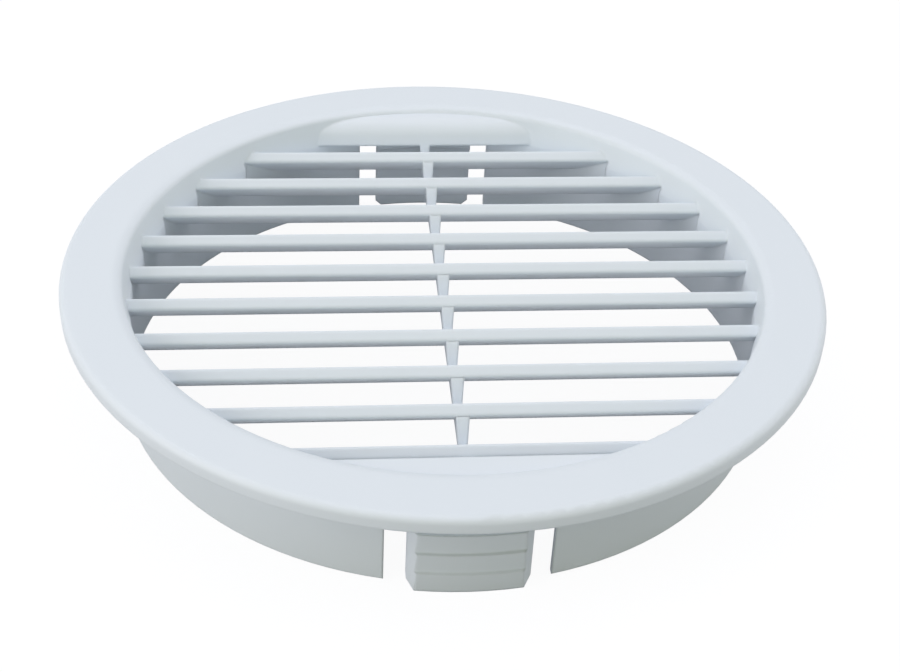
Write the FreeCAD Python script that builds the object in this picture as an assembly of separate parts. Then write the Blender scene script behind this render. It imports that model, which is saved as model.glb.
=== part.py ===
# Round louvred vent cover for a 100 mm duct, moulded as one piece.
# Millimetres. X runs along the blades, Y across them, Z is up with 0 at the lower end of the collar.
import FreeCAD, Part
import math
import os

os.makedirs("parts", exist_ok=True)

# Flange
flange_dia = 115.0
overall_height = 19.4
rim_height = 2.6
rim_wall = 1.8
rim_round = 1.0
rim_lower_bevel = 0.3
flange_wall = 1.8

# Collar that goes into the duct
collar_dia = 99.0
collar_wall = 1.3
collar_end_bevel = 0.4

# Funnel from the flange face down to the throat that the blades span, set back from the collar's outside
mouth_setback = 1.1
mouth_drop = 0.5
mouth_lead = 1.0
mouth_round = 2.4
mouth_edge_round = 0.8
funnel_angle = 10.0
throat_setback = 1.9

# Flat segments that close the two ends of the louvre
segment_width = 3.7
segment_drop = 0.9
segment_depth = 4.9
segment_angle = 14.0
segment_round = 3.0

# Louvre blades
blade_count = 10
blade_drop = 2.45
blade_thickness = 1.85
blade_slope = 43.0
blade_edge_round = 0.25
blade_nose_round = 0.45
louvre_depth = 7.6
louvre_far_gap = 1.85
louvre_near_gap = 3.16

# Rib that ties the blades together
rib_root_width = 2.1
rib_tip_width = 1.05
rib_below_blades = 1.6
rib_seat = 2.0

# Snap tabs
tab_width = 16.8
tab_slot_width = 3.0
tab_slot_round = 0.5
tab_root_gap = 0.4
tab_corner = 1.0
tooth_count = 3
tooth_height = 3.5
tooth_foot = 1.2
tooth_tip = 1.55
tooth_bevel = 1.1

# How far one shape runs into the next where they are joined
joint_overlap = 0.4

# Values that follow from the sizes above
flange_radius = flange_dia / 2
collar_radius = collar_dia / 2
bore_radius = collar_radius - collar_wall
mouth_radius = collar_radius - mouth_setback
throat_radius = collar_radius - throat_setback
funnel_depth = (mouth_radius - throat_radius) / math.tan(math.radians(funnel_angle))
chord_offset = mouth_radius - segment_width
top = overall_height
blade_top = top - blade_drop
blade_bottom = top - louvre_depth
slope = math.radians(blade_slope)
blade_nose_run = blade_thickness * math.sin(slope)
blade_nose_drop = blade_thickness * math.cos(slope)
blade_run = (blade_top - blade_bottom) / math.tan(slope)
blade_reach = blade_nose_run + blade_run
louvre_length = 2 * chord_offset - louvre_far_gap - louvre_near_gap
blade_pitch = (louvre_length - blade_reach) / (blade_count - 1)
nose_height = blade_top - blade_nose_drop
rib_bottom = blade_bottom - rib_below_blades
inside_wall = collar_radius - joint_overlap


def rounded_outline(corners, place):
    """Closed face through corners (u, v, round), laid in space by place(u, v)."""
    edges = []
    starts = []
    ends = []
    middles = []
    count = len(corners)
    for index in range(count):
        u, v, radius = corners[index]
        before = corners[index - 1]
        after = corners[(index + 1) % count]
        back = FreeCAD.Vector(before[0] - u, before[1] - v, 0).normalize()
        ahead = FreeCAD.Vector(after[0] - u, after[1] - v, 0).normalize()
        corner = FreeCAD.Vector(u, v, 0)
        if radius == 0:
            starts.append(corner)
            ends.append(corner)
            middles.append(None)
            continue
        half_angle = back.getAngle(ahead) / 2
        reach = radius / math.tan(half_angle)
        inward = (back + ahead).normalize()
        starts.append(corner + back * reach)
        ends.append(corner + ahead * reach)
        middles.append(corner + inward * (radius / math.sin(half_angle) - radius))
    for index in range(count):
        if middles[index] is not None:
            arc_points = [starts[index], middles[index], ends[index]]
            placed = [place(point.x, point.y) for point in arc_points]
            edges.append(Part.Arc(placed[0], placed[1], placed[2]).toShape())
        leave = ends[index]
        arrive = starts[(index + 1) % count]
        if leave.distanceToPoint(arrive) > 1e-6:
            edges.append(Part.makeLine(place(leave.x, leave.y), place(arrive.x, arrive.y)))
    return Part.Face(Part.Wire(Part.__sortEdges__(edges)))


def turned(corners):
    """Solid of revolution about Z from corners (radius, height, round)."""
    face = rounded_outline(corners, lambda r, z: FreeCAD.Vector(r, 0, z))
    return face.revolve(FreeCAD.Vector(0, 0, 0), FreeCAD.Vector(0, 0, 1), 360)


def along_x(corners, half_length):
    """Prism along X from corners (y, z, round)."""
    face = rounded_outline(corners, lambda y, z: FreeCAD.Vector(-half_length, y, z))
    return face.extrude(FreeCAD.Vector(2 * half_length, 0, 0))


def along_y(corners, start, length):
    """Prism along Y from corners (x, z, round)."""
    face = rounded_outline(corners, lambda x, z: FreeCAD.Vector(x, start, z))
    return face.extrude(FreeCAD.Vector(0, length, 0))


def along_z(corners, start, length):
    """Prism along Z from corners (x, y, round)."""
    face = rounded_outline(corners, lambda x, y: FreeCAD.Vector(x, y, start))
    return face.extrude(FreeCAD.Vector(0, 0, length))


def disc(radius, start, length):
    """Upright cylinder on the axis."""
    return Part.makeCylinder(radius, length, FreeCAD.Vector(0, 0, start))


def blade_front(number):
    """Y of the upper front edge of a blade, counted from the +Y end."""
    return chord_offset - louvre_far_gap - blade_run - number * blade_pitch


# Flange, funnel, throat and collar turned from one section
shell = turned([
    (mouth_radius, top - mouth_drop, mouth_edge_round),
    (mouth_radius + mouth_lead, top, mouth_round),
    (flange_radius, top, rim_round),
    (flange_radius, top - rim_height + rim_lower_bevel, 0),
    (flange_radius - rim_lower_bevel, top - rim_height, 0),
    (flange_radius - rim_wall, top - rim_height, 0),
    (flange_radius - rim_wall, top - flange_wall, 0),
    (collar_radius, top - flange_wall, 0),
    (collar_radius, collar_end_bevel, 0),
    (collar_radius - collar_end_bevel, 0, 0),
    (bore_radius, 0, 0),
    (bore_radius, blade_bottom, 0),
    (throat_radius, blade_bottom, 0),
    (throat_radius, top - mouth_drop - funnel_depth, 0),
])

# Blades, and the space under each blade where the throat steps back to the bore
below = blade_bottom - joint_overlap
blades = []
undercuts = []
for number in range(blade_count):
    front = blade_front(number)
    nose = front - blade_nose_run
    heel = nose + (nose_height - blade_bottom) / math.tan(slope)
    tail = front + blade_run
    section = [
        (front, blade_top, blade_edge_round),
        (nose, nose_height, blade_nose_round),
        (heel, blade_bottom, 0),
        (tail, blade_bottom, 0),
    ]
    blades.append(along_x(section, collar_radius))
    hollow = [(nose, nose_height, 0), (nose, below, 0), (heel, below, 0), (heel, blade_bottom, 0)]
    undercuts.append(along_x(hollow, collar_radius))
bore = disc(bore_radius, below, top)
shell = shell.cut([undercut.common(bore) for undercut in undercuts])
wall_disc = disc(inside_wall, blade_bottom, louvre_depth)
blades = [blade.common(wall_disc) for blade in blades]

# Flat segments beyond the first and the last blade, each with a wall that leans down to the blades
segment_top = top - segment_drop
segment_bottom = top - segment_depth
segment_foot = chord_offset - (segment_top - segment_bottom) * math.tan(math.radians(segment_angle))
segment_disc = disc(inside_wall, segment_bottom, segment_top - segment_bottom)
segments = []
for side in (1, -1):
    block = [
        (side * segment_foot, segment_bottom, 0),
        (side * collar_radius, segment_bottom, 0),
        (side * collar_radius, segment_top, 0),
        (side * chord_offset, segment_top, segment_round),
    ]
    segments.append(along_x(block, collar_radius).common(segment_disc))

# Rib: a tapered bar whose upper edge drops from the nose of each blade to the tail of the next
rib_end = chord_offset + rib_seat
rib_end_top = segment_bottom + joint_overlap
rib_line = [(rib_end, rib_end_top, 0), (segment_foot, segment_bottom, 0)]
for number in range(blade_count):
    front = blade_front(number)
    rib_line.append((front + blade_run, blade_bottom, 0))
    rib_line.append((front - blade_nose_run, nose_height, 0))
rib_line.append((-segment_foot, segment_bottom, 0))
rib_line.append((-rib_end, rib_end_top, 0))
rib_line.append((-rib_end, segment_bottom, 0))
rib_line.append((blade_front(blade_count - 1) - blade_nose_run, rib_bottom, 0))
rib_line.append((blade_front(0) + blade_run, rib_bottom, 0))
rib_line.append((rib_end, segment_bottom, 0))
rib_side = along_x(rib_line, rib_root_width)
rib_section = [
    (-rib_root_width / 2, blade_top, 0),
    (rib_root_width / 2, blade_top, 0),
    (rib_tip_width / 2, rib_bottom, 0),
    (-rib_tip_width / 2, rib_bottom, 0),
]
rib = along_y(rib_section, -collar_radius, collar_dia).common(rib_side)

# Snap tabs at the two ends of the rib: saw teeth with the ledges facing the flange
tooth_line = [(inside_wall, 0, 0)]
for number in range(tooth_count):
    tooth_line.append((collar_radius + tooth_foot, number * tooth_height, 0))
    tooth_line.append((collar_radius + tooth_tip, (number + 1) * tooth_height, 0))
tooth_line.append((inside_wall, tooth_count * tooth_height, 0))
tooth_ring = turned(tooth_line)
half_tab = tab_width / 2
bevel_start = math.sqrt(collar_radius ** 2 - half_tab ** 2)
bevel_run = tooth_bevel * (collar_radius + tooth_tip - bevel_start) / tooth_tip
teeth = []
for side in (1, -1):
    plan = [
        (-half_tab, side * chord_offset, 0),
        (half_tab, side * chord_offset, 0),
        (half_tab, side * bevel_start, 0),
        (half_tab - bevel_run, side * (collar_radius + tooth_tip), 0),
        (bevel_run - half_tab, side * (collar_radius + tooth_tip), 0),
        (-half_tab, side * bevel_start, 0),
    ]
    teeth.append(along_z(plan, 0, tooth_count * tooth_height).common(tooth_ring))

# Join the moulding, then cut the slots and the lower corners of the tabs
body = shell.fuse(blades + segments + [rib] + teeth).removeSplitter()
slot_top = segment_bottom - tab_root_gap
cuts = []
for side in (1, -1):
    start = chord_offset if side > 0 else -flange_radius
    length = flange_radius - chord_offset
    for hand in (1, -1):
        near = hand * half_tab
        far = hand * (half_tab + tab_slot_width)
        slot = [
            (near, -joint_overlap, 0),
            (far, -joint_overlap, 0),
            (far, slot_top, tab_slot_round),
            (near, slot_top, tab_slot_round),
        ]
        cuts.append(along_y(slot, start, length))
        corner = [(near, 0, 0), (near, tab_corner, 0), (hand * (half_tab - tab_corner), 0, 0)]
        cuts.append(along_y(corner, start, length))
body = body.cut(cuts).removeSplitter()
body.exportStep("parts/vent_cover.step")
print("solids", len(body.Solids), "volume", round(body.Volume, 1), "valid", body.isValid())
print("box", body.BoundBox)
print("pitch", round(blade_pitch, 3), "funnel depth", round(funnel_depth, 3))
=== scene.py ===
import math

import bmesh
import bpy
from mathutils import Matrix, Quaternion, Vector


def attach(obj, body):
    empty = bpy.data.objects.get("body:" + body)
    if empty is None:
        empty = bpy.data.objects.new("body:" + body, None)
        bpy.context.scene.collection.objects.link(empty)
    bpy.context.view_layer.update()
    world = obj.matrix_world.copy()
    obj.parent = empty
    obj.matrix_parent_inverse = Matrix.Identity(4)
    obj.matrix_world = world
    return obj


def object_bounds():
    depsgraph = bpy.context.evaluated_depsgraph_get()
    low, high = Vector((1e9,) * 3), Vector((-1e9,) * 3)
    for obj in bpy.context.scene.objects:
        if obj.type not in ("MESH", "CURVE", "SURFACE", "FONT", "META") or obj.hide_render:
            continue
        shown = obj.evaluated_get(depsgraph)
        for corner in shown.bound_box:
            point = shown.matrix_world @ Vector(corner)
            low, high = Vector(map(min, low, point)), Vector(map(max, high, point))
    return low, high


bl_info = {
    "name": "Round vent cover",
    "version": (1, 0, 0),
    "blender": (4, 5, 0),
    "location": "View3D > Sidebar > Vent cover",
    "description": "Gives the louvred vent cover its moulded plastic finish and a studio stage",
    "category": "Object",
}

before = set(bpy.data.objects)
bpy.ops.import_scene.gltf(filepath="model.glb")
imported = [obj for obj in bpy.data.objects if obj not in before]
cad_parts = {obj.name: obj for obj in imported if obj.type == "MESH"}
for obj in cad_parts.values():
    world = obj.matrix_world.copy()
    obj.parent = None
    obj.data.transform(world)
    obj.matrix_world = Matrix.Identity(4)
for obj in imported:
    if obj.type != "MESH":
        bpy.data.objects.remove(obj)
cad_low, cad_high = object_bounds()

# Image that the camera's framing is worked out for
image_width = 900
sensor_width = 36.0

# Distance below which two points count as one
same_place = 1e-6


class MouldingSettings(bpy.types.PropertyGroup):
    """Finish of the white plastic."""

    plastic_colour: bpy.props.FloatVectorProperty(
        name="Plastic colour",
        description="Colour of the plastic where it is evenly mixed",
        subtype="COLOR",
        size=3,
        min=0.0,
        max=1.0,
        default=(0.745, 0.8, 0.838),
    )
    streak_colour: bpy.props.FloatVectorProperty(
        name="Streak colour",
        description="Colour of the faint streaks left by the plastic as it flowed into the mould",
        subtype="COLOR",
        size=3,
        min=0.0,
        max=1.0,
        default=(0.725, 0.785, 0.826),
    )
    streak_density: bpy.props.FloatProperty(
        name="Streak density",
        description="Number of streaks in a metre across the flow",
        min=0.0,
        default=90.0,
    )
    streak_stretch: bpy.props.FloatProperty(
        name="Streak stretch",
        description="Number of streaks along the flow, as a share of the number across it",
        min=0.0,
        max=1.0,
        default=0.25,
    )
    face_roughness: bpy.props.FloatProperty(
        name="Face roughness",
        description="Roughness of the surface that the polished half of the mould makes",
        min=0.0,
        max=1.0,
        default=0.5,
    )
    back_roughness: bpy.props.FloatProperty(
        name="Back roughness",
        description="Roughness of the collar and the back, made by the plainer half of the mould",
        min=0.0,
        max=1.0,
        default=0.75,
    )
    back_height: bpy.props.FloatProperty(
        name="Back height",
        description="Height up to which the surface is all back",
        subtype="DISTANCE",
        unit="LENGTH",
        min=0.0,
        default=cad_high.z * 0.55,
    )
    face_height: bpy.props.FloatProperty(
        name="Face height",
        description="Height from which the surface is all face",
        subtype="DISTANCE",
        unit="LENGTH",
        min=0.0,
        default=cad_high.z * 0.8,
    )
    patch_density: bpy.props.FloatProperty(
        name="Patch density",
        description="Number of rougher and smoother patches in a metre",
        min=0.0,
        default=160.0,
    )
    patch_spread: bpy.props.FloatProperty(
        name="Patch spread",
        description="How far the roughness of a patch goes up or down",
        min=0.0,
        max=0.5,
        default=0.05,
    )
    grain_size: bpy.props.FloatProperty(
        name="Grain size",
        description="Width of one grain of the mould's fine texture",
        subtype="DISTANCE",
        unit="LENGTH",
        min=0.00005,
        max=0.005,
        default=0.0006,
    )
    grain_depth: bpy.props.FloatProperty(
        name="Grain depth",
        description="Depth of the mould's fine texture",
        subtype="DISTANCE",
        unit="LENGTH",
        min=0.0,
        max=0.0005,
        default=0.000004,
    )
    edge_round: bpy.props.FloatProperty(
        name="Edge rounding",
        description="Radius at which light rolls over the moulded edges",
        subtype="DISTANCE",
        unit="LENGTH",
        min=0.0,
        max=0.002,
        default=0.0006,
    )


class LipSettings(bpy.types.PropertyGroup):
    """Straight lip along the segment that closes the near end of the louvre."""

    chord_offset: bpy.props.FloatProperty(
        name="Chord offset",
        description="Distance from the cover's axis to the segment's corner, were it sharp",
        subtype="DISTANCE",
        unit="LENGTH",
        min=0.0,
        default=0.0447,
    )
    face_drop: bpy.props.FloatProperty(
        name="Face drop",
        description="How far the segment lies below the flange's face",
        subtype="DISTANCE",
        unit="LENGTH",
        min=0.0,
        default=0.0009,
    )
    corner_round: bpy.props.FloatProperty(
        name="Corner round",
        description="Radius of the segment's rounded corner, which the lip fills out",
        subtype="DISTANCE",
        unit="LENGTH",
        min=0.0,
        default=0.003,
    )
    wall_lean: bpy.props.FloatProperty(
        name="Wall lean",
        description="Angle by which the segment's wall leans away from upright",
        subtype="ANGLE",
        unit="ROTATION",
        default=math.radians(14.0),
    )
    half_length: bpy.props.FloatProperty(
        name="Half length",
        description="Half the lip's length, with the ends inside the funnel's wall",
        subtype="DISTANCE",
        unit="LENGTH",
        min=0.0,
        default=0.0195,
    )
    width: bpy.props.FloatProperty(
        name="Width",
        description="Width of the lip's face, with its outer side inside the flange",
        subtype="DISTANCE",
        unit="LENGTH",
        min=0.0,
        default=0.0045,
    )
    face_lift: bpy.props.FloatProperty(
        name="Face lift",
        description="How far the lip's face lies above the segment that it covers",
        subtype="DISTANCE",
        unit="LENGTH",
        min=0.0,
        default=0.000015,
    )
    seat_depth: bpy.props.FloatProperty(
        name="Seat depth",
        description="How far the lip's hidden side runs into the segment",
        subtype="DISTANCE",
        unit="LENGTH",
        min=0.0,
        default=0.0002,
    )
    overhang: bpy.props.FloatProperty(
        name="Overhang",
        description="How far the lip's edge stands forward of the segment's own corner",
        subtype="DISTANCE",
        unit="LENGTH",
        min=0.0,
        default=0.0002,
    )
    edge_bevel: bpy.props.FloatProperty(
        name="Edge bevel",
        description="Width of the small round along the lip's edge",
        subtype="DISTANCE",
        unit="LENGTH",
        min=0.0,
        default=0.00015,
    )


class StageSettings(bpy.types.PropertyGroup):
    """Floor, light and camera."""

    floor_colour: bpy.props.FloatVectorProperty(
        name="Floor colour",
        description="Colour of the floor as it lights the cover from below",
        subtype="COLOR",
        size=3,
        min=0.0,
        max=1.0,
        default=(0.48, 0.49, 0.53),
    )
    floor_glow: bpy.props.FloatProperty(
        name="Floor glow",
        description="Share of plain white in the floor as the camera sees it",
        min=0.0,
        max=1.0,
        default=0.83,
    )
    floor_white: bpy.props.FloatProperty(
        name="Floor white",
        description="Brightness of that plain white",
        min=0.0,
        max=2.0,
        default=1.13,
    )
    floor_radius: bpy.props.FloatProperty(
        name="Floor radius",
        description="Radius of the floor",
        subtype="DISTANCE",
        unit="LENGTH",
        min=0.5,
        max=20.0,
        default=4.0,
    )
    room_light: bpy.props.FloatProperty(
        name="Room light",
        description="Strength of the even light from all round",
        min=0.0,
        max=3.0,
        default=0.348,
    )
    room_colour: bpy.props.FloatVectorProperty(
        name="Room colour",
        description="Colour of the even light from all round",
        subtype="COLOR",
        size=3,
        min=0.0,
        max=1.0,
        default=(0.93, 0.98, 0.76),
    )
    key_power: bpy.props.FloatProperty(
        name="Key light",
        description="Power of the lamp on the left",
        subtype="POWER",
        unit="POWER",
        min=0.0,
        max=100.0,
        default=4.1,
    )
    top_power: bpy.props.FloatProperty(
        name="Top light",
        description="Power of the lamp overhead",
        subtype="POWER",
        unit="POWER",
        min=0.0,
        max=100.0,
        default=8.65,
    )
    fill_power: bpy.props.FloatProperty(
        name="Fill light",
        description="Power of the weaker lamp on the right",
        subtype="POWER",
        unit="POWER",
        min=0.0,
        max=100.0,
        default=1.9,
    )
    front_power: bpy.props.FloatProperty(
        name="Front light",
        description="Power of the weak lamp in front",
        subtype="POWER",
        unit="POWER",
        min=0.0,
        max=100.0,
        default=0.45,
    )
    camera_azimuth: bpy.props.FloatProperty(
        name="Camera azimuth",
        description="Direction of the camera round the cover, measured from the line of the rib",
        subtype="ANGLE",
        unit="ROTATION",
        default=math.radians(-5.97),
    )
    camera_elevation: bpy.props.FloatProperty(
        name="Camera elevation",
        description="Height of the camera above the flange's face, as an angle",
        subtype="ANGLE",
        unit="ROTATION",
        default=math.radians(33.58),
    )
    camera_distance: bpy.props.FloatProperty(
        name="Camera distance",
        description="Distance from the camera to the middle of the flange's face",
        subtype="DISTANCE",
        unit="LENGTH",
        default=0.23633,
    )
    camera_roll: bpy.props.FloatProperty(
        name="Camera roll",
        description="Turn of the camera about its own line of sight",
        subtype="ANGLE",
        unit="ROTATION",
        default=math.radians(2.925),
    )
    look_right: bpy.props.FloatProperty(
        name="Look right",
        description="How far right of the flange's middle the line of sight passes, over the distance",
        default=0.0053,
    )
    look_up: bpy.props.FloatProperty(
        name="Look up",
        description="How far above the flange's middle the line of sight passes, over the distance",
        default=-0.0488,
    )
    focal_pixels: bpy.props.FloatProperty(
        name="Focal length",
        description="Focal length of the lens, in pixels of the image",
        default=1550.5,
    )


def new_material(name):
    """Empty node material with its output node."""
    material = bpy.data.materials.new(name)
    material.use_nodes = True
    tree = material.node_tree
    tree.nodes.clear()
    output = tree.nodes.new("ShaderNodeOutputMaterial")
    output.location = (700, 0)
    return material, tree, output


def add_node(tree, kind, location, **values):
    """Node of a kind with some of its input sockets set by name."""
    node = tree.nodes.new(kind)
    node.location = location
    for socket, value in values.items():
        node.inputs[socket.replace("_", " ")].default_value = value
    return node


def opaque(colour):
    """Colour with full alpha."""
    return (colour[0], colour[1], colour[2], 1.0)


def white_plastic(settings):
    """Satin white plastic: faint flow streaks, fine mould grain and softly rounded edges."""
    material, tree, output = new_material("white_plastic")
    link = tree.links.new
    place = add_node(tree, "ShaderNodeTexCoord", (-1100, 0))

    flow = add_node(tree, "ShaderNodeMapping", (-900, 250), Scale=(1.0, settings.streak_stretch, 1.0))
    streaks = add_node(tree, "ShaderNodeTexNoise", (-700, 250), Detail=3.0, Roughness=0.55)
    streaks.inputs["Scale"].default_value = settings.streak_density
    tint = add_node(tree, "ShaderNodeMix", (-300, 250))
    tint.data_type = "RGBA"
    tint.inputs["A"].default_value = opaque(settings.plastic_colour)
    tint.inputs["B"].default_value = opaque(settings.streak_colour)
    link(place.outputs["Object"], flow.inputs["Vector"])
    link(flow.outputs["Vector"], streaks.inputs["Vector"])
    link(streaks.outputs["Fac"], tint.inputs["Factor"])

    split = add_node(tree, "ShaderNodeSeparateXYZ", (-900, -50))
    finish = add_node(tree, "ShaderNodeMapRange", (-700, -50))
    finish.inputs["From Min"].default_value = settings.back_height
    finish.inputs["From Max"].default_value = settings.face_height
    finish.inputs["To Min"].default_value = settings.back_roughness
    finish.inputs["To Max"].default_value = settings.face_roughness
    patches = add_node(tree, "ShaderNodeTexNoise", (-700, -300), Scale=settings.patch_density, Detail=2.0)
    spread = add_node(tree, "ShaderNodeMapRange", (-500, -300))
    spread.inputs["To Min"].default_value = -settings.patch_spread
    spread.inputs["To Max"].default_value = settings.patch_spread
    roughness = add_node(tree, "ShaderNodeMath", (-300, -50))
    roughness.operation = "ADD"
    link(place.outputs["Object"], split.inputs["Vector"])
    link(split.outputs["Z"], finish.inputs["Value"])
    link(place.outputs["Object"], patches.inputs["Vector"])
    link(patches.outputs["Fac"], spread.inputs["Value"])
    link(finish.outputs["Result"], roughness.inputs[0])
    link(spread.outputs["Result"], roughness.inputs[1])

    grain = add_node(tree, "ShaderNodeTexNoise", (-500, -550), Scale=1.0 / settings.grain_size, Detail=2.0)
    edges = add_node(tree, "ShaderNodeBevel", (-300, -750), Radius=settings.edge_round)
    edges.samples = 12
    bump = add_node(tree, "ShaderNodeBump", (0, -550), Distance=settings.grain_depth, Strength=1.0)
    link(place.outputs["Object"], grain.inputs["Vector"])
    link(grain.outputs["Fac"], bump.inputs["Height"])
    link(edges.outputs["Normal"], bump.inputs["Normal"])

    plastic = add_node(tree, "ShaderNodeBsdfPrincipled", (350, 0), IOR=1.49)
    link(tint.outputs["Result"], plastic.inputs["Base Color"])
    link(roughness.outputs["Value"], plastic.inputs["Roughness"])
    link(bump.outputs["Normal"], plastic.inputs["Normal"])
    link(plastic.outputs["BSDF"], output.inputs["Surface"])
    return material


def seen_rays(tree, left):
    """Node that is 1 for the rays that show the stage as white: direct, mirrored and through glass."""
    rays = add_node(tree, "ShaderNodeLightPath", (left, 350))
    direct = add_node(tree, "ShaderNodeMath", (left + 200, 350))
    direct.operation = "MAXIMUM"
    seen = add_node(tree, "ShaderNodeMath", (left + 400, 350))
    seen.operation = "MAXIMUM"
    link = tree.links.new
    link(rays.outputs["Is Camera Ray"], direct.inputs[0])
    link(rays.outputs["Is Transmission Ray"], direct.inputs[1])
    link(direct.outputs["Value"], seen.inputs[0])
    link(rays.outputs["Is Glossy Ray"], seen.inputs[1])
    return seen


def pale_floor(settings):
    """Pale matt floor that the camera sees nearly white and that still takes the cover's shadow."""
    material, tree, output = new_material("pale_floor")
    link = tree.links.new
    matt = add_node(tree, "ShaderNodeBsdfDiffuse", (-100, 150))
    matt.inputs["Color"].default_value = opaque(settings.floor_colour)
    glow = add_node(tree, "ShaderNodeEmission", (-100, -50), Strength=settings.floor_white)
    seen = seen_rays(tree, -700)
    share = add_node(tree, "ShaderNodeMath", (-100, 350))
    share.operation = "MULTIPLY"
    share.inputs[1].default_value = settings.floor_glow
    blend = add_node(tree, "ShaderNodeMixShader", (350, 0))
    link(seen.outputs["Value"], share.inputs[0])
    link(share.outputs["Value"], blend.inputs["Fac"])
    link(matt.outputs["BSDF"], blend.inputs[1])
    link(glow.outputs["Emission"], blend.inputs[2])
    link(blend.outputs["Shader"], output.inputs["Surface"])
    return material


class VENT_OT_mould_finish(bpy.types.Operator):
    """Gives the moulded cover its white plastic"""

    bl_idname = "vent.mould_finish"
    bl_label = "Mould finish"

    def execute(self, context):
        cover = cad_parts["vent_cover"]
        plastic = white_plastic(context.scene.vent_moulding)
        cover.data.materials.clear()
        cover.data.materials.append(plastic)
        # Keeps the lamps' shadows from showing the facets of the round walls
        cover.shadow_terminator_geometry_offset = 1.0
        return {"FINISHED"}


class VENT_OT_near_lip(bpy.types.Operator):
    """Fills out the corner of the near segment to a straight lip"""

    bl_idname = "vent.near_lip"
    bl_label = "Near lip"

    def execute(self, context):
        settings = context.scene.vent_lip
        section = self.lip_section(settings)
        front = section[1]
        half = Vector((settings.half_length, 0.0, 0.0))
        shape = bmesh.new()
        end = shape.faces.new([shape.verts.new(point - half) for point in section])
        pulled = bmesh.ops.extrude_face_region(shape, geom=[end])
        moved = [item for item in pulled["geom"] if isinstance(item, bmesh.types.BMVert)]
        bmesh.ops.translate(shape, verts=moved, vec=half * 2)
        bmesh.ops.bevel(
            shape,
            geom=[edge for edge in shape.edges if self.on_line(edge, front)],
            offset=settings.edge_bevel,
            segments=3,
            profile=0.5,
            affect="EDGES",
            material=-1,
        )
        bmesh.ops.recalc_face_normals(shape, faces=shape.faces)
        mesh = bpy.data.meshes.new("near_lip")
        shape.to_mesh(mesh)
        shape.free()
        mesh.materials.append(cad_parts["vent_cover"].data.materials[0])
        lip = bpy.data.objects.new("near_lip", mesh)
        context.scene.collection.objects.link(lip)
        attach(lip, "root")
        return {"FINISHED"}

    def lip_section(self, settings):
        """Corners of the section: outer side of the face, its edge, foot on the wall, two inside."""
        half_angle = (math.pi / 2 + settings.wall_lean) / 2
        reach = settings.corner_round / math.tan(half_angle)
        gap = settings.corner_round / math.sin(half_angle) - settings.corner_round
        corner = Vector((0.0, -settings.chord_offset, cad_high.z - settings.face_drop))
        outward = Vector((0.0, -1.0, 0.0))
        fall = Vector((0.0, math.sin(settings.wall_lean), -math.cos(settings.wall_lean)))
        inward = (outward + fall).normalized()
        lift = Vector((0.0, 0.0, settings.face_lift))
        seat = Vector((0.0, 0.0, -settings.seat_depth))
        return (
            corner + outward * settings.width + lift,
            corner - outward * settings.overhang + lift,
            corner + fall * reach,
            corner + inward * (gap + settings.seat_depth),
            corner + outward * settings.width + seat,
        )

    def on_line(self, edge, point):
        """True for an edge that runs along X through a point."""
        return all((vert.co - point).yz.length < same_place for vert in edge.verts)


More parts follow.
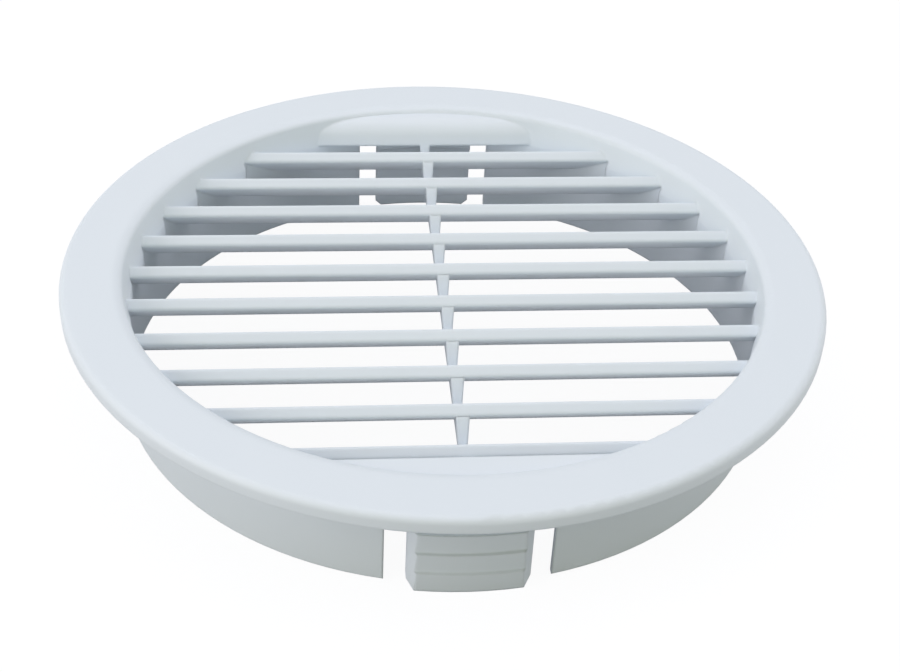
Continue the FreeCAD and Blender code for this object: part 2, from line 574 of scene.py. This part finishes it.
class VENT_OT_studio_stage(bpy.types.Operator):
    """Sets the floor, the light and the camera"""

    bl_idname = "vent.studio_stage"
    bl_label = "Studio stage"

    def execute(self, context):
        settings = context.scene.vent_stage
        self.lay_floor(context, settings)
        self.light_room(context, settings)
        self.hang_lamps(context, settings)
        self.place_camera(context, settings)
        context.scene.view_settings.view_transform = "Standard"
        return {"FINISHED"}

    def lay_floor(self, context, settings):
        """Flat round floor under the cover."""
        shape = bmesh.new()
        bmesh.ops.create_circle(shape, cap_ends=True, segments=64, radius=settings.floor_radius)
        mesh = bpy.data.meshes.new("floor")
        shape.to_mesh(mesh)
        shape.free()
        floor = bpy.data.objects.new("floor", mesh)
        mesh.materials.append(pale_floor(settings))
        context.scene.collection.objects.link(floor)

    def light_room(self, context, settings):
        """Even light from all round, which the camera sees as white."""
        world = bpy.data.worlds.new("studio")
        world.use_nodes = True
        tree = world.node_tree
        tree.nodes.clear()
        link = tree.links.new
        output = tree.nodes.new("ShaderNodeOutputWorld")
        even = add_node(tree, "ShaderNodeBackground", (-200, 100), Strength=settings.room_light)
        even.inputs["Color"].default_value = opaque(settings.room_colour)
        white = add_node(tree, "ShaderNodeBackground", (-200, -100), Strength=1.0)
        white.inputs["Color"].default_value = (1.0, 1.0, 1.0, 1.0)
        seen = seen_rays(tree, -600)
        blend = add_node(tree, "ShaderNodeMixShader", (0, 0))
        link(seen.outputs["Value"], blend.inputs["Fac"])
        link(even.outputs["Background"], blend.inputs[1])
        link(white.outputs["Background"], blend.inputs[2])
        link(blend.outputs["Shader"], output.inputs["Surface"])
        context.scene.world = world

    def hang_lamps(self, context, settings):
        """Round lamps turned to the middle of the cover."""
        # Name, place, width, power and colour of each lamp
        lamps = (
            ("key_light", (-0.86, -0.35, 0.37), 0.7, settings.key_power, (1.0, 0.95, 1.0)),
            ("top_light", (0.0, 0.12, 1.0), 1.8, settings.top_power, (0.83, 0.81, 1.0)),
            ("fill_light", (0.92, 0.0, 0.38), 0.6, settings.fill_power, (0.95, 0.9, 1.0)),
            ("front_light", (0.0, -0.92, 0.38), 0.6, settings.front_power, (1.0, 0.97, 0.5)),
        )
        target = Vector((0.0, 0.0, cad_high.z / 2))
        for name, place, width, power, colour in lamps:
            lamp = bpy.data.lights.new(name, "AREA")
            lamp.shape = "DISK"
            lamp.size = width
            lamp.energy = power
            lamp.color = colour
            holder = bpy.data.objects.new(name, lamp)
            holder.location = place
            holder.rotation_mode = "QUATERNION"
            holder.rotation_quaternion = (target - holder.location).to_track_quat("-Z", "Y")
            context.scene.collection.objects.link(holder)

    def place_camera(self, context, settings):
        """Camera round the middle of the flange's face, by angles and distance."""
        turn = settings.camera_azimuth
        rise = settings.camera_elevation
        back = Vector((
            math.sin(turn) * math.cos(rise),
            -math.cos(turn) * math.cos(rise),
            math.sin(rise),
        ))
        right = (-back).cross(Vector((0.0, 0.0, 1.0))).normalized()
        up = right.cross(-back)
        sight = -back + right * settings.look_right + up * settings.look_up
        lens = bpy.data.cameras.new("camera")
        lens.sensor_width = sensor_width
        lens.lens = settings.focal_pixels / image_width * sensor_width
        lens.clip_start = 0.01
        camera = bpy.data.objects.new("camera", lens)
        camera.location = Vector((0.0, 0.0, cad_high.z)) + back * settings.camera_distance
        camera.rotation_mode = "QUATERNION"
        roll = Quaternion((0.0, 0.0, 1.0), settings.camera_roll)
        camera.rotation_quaternion = sight.to_track_quat("-Z", "Y") @ roll
        context.scene.collection.objects.link(camera)
        context.scene.camera = camera


class VENT_PT_cover(bpy.types.Panel):
    """Steps that dress the vent cover"""

    bl_idname = "VENT_PT_cover"
    bl_label = "Vent cover"
    bl_space_type = "VIEW_3D"
    bl_region_type = "UI"
    bl_category = "Vent cover"

    def draw(self, context):
        layout = self.layout
        for group in (context.scene.vent_moulding, context.scene.vent_lip, context.scene.vent_stage):
            box = layout.box()
            for name in group.bl_rna.properties.keys():
                if name not in {"rna_type", "name"}:
                    box.prop(group, name)
        layout.operator(VENT_OT_mould_finish.bl_idname)
        layout.operator(VENT_OT_near_lip.bl_idname)
        layout.operator(VENT_OT_studio_stage.bl_idname)


classes = (
    MouldingSettings,
    LipSettings,
    StageSettings,
    VENT_OT_mould_finish,
    VENT_OT_near_lip,
    VENT_OT_studio_stage,
    VENT_PT_cover,
)


def register():
    for item in classes:
        bpy.utils.register_class(item)
    bpy.types.Scene.vent_moulding = bpy.props.PointerProperty(type=MouldingSettings)
    bpy.types.Scene.vent_lip = bpy.props.PointerProperty(type=LipSettings)
    bpy.types.Scene.vent_stage = bpy.props.PointerProperty(type=StageSettings)


def unregister():
    del bpy.types.Scene.vent_stage
    del bpy.types.Scene.vent_lip
    del bpy.types.Scene.vent_moulding
    for item in reversed(classes):
        bpy.utils.unregister_class(item)


def main():
    register()
    bpy.ops.vent.mould_finish()
    bpy.ops.vent.near_lip()
    bpy.ops.vent.studio_stage()


if __name__ == "__main__":
    main()
